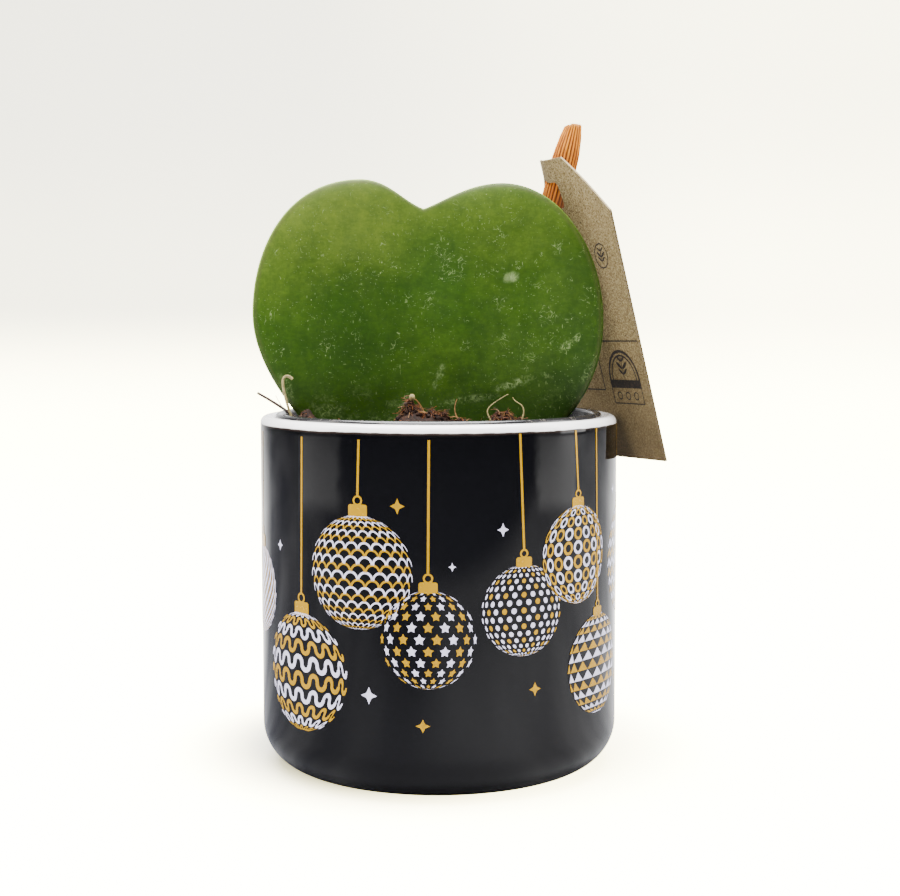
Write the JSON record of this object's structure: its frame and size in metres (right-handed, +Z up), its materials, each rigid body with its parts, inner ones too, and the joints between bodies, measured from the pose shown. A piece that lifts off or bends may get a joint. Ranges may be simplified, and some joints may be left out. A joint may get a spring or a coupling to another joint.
{
  "type": "potted hoya plant",
  "caption": "Thick heart-shaped hoya leaf standing in compost in a nursery pot, inside a round glazed cover pot, with a reed stick that carries a card tag.",
  "frame": {"origin": "centre of the cover pot's flat underside", "axes": "+Z up along the pot's axis, -Y towards the side that the leaf faces, +X to the right seen from there"},
  "size_m": [0.0813, 0.07, 0.1262],
  "materials": {
    "glaze": "glossy",
    "pot_plastic": "satin",
    "compost": "matte",
    "leaf": "satin",
    "reed": "matte",
    "card": "matte",
    "print_gold": "satin",
    "print_silver": "satin",
    "tag_ink": "matte"
  },
  "bodies": {
    "root": {"ceramic_pot": "glaze", "grow_pot": "pot_plastic", "compost": "compost", "leaf": "leaf", "stick": "reed", "tag": "card"}
  },
  "joints": []
}
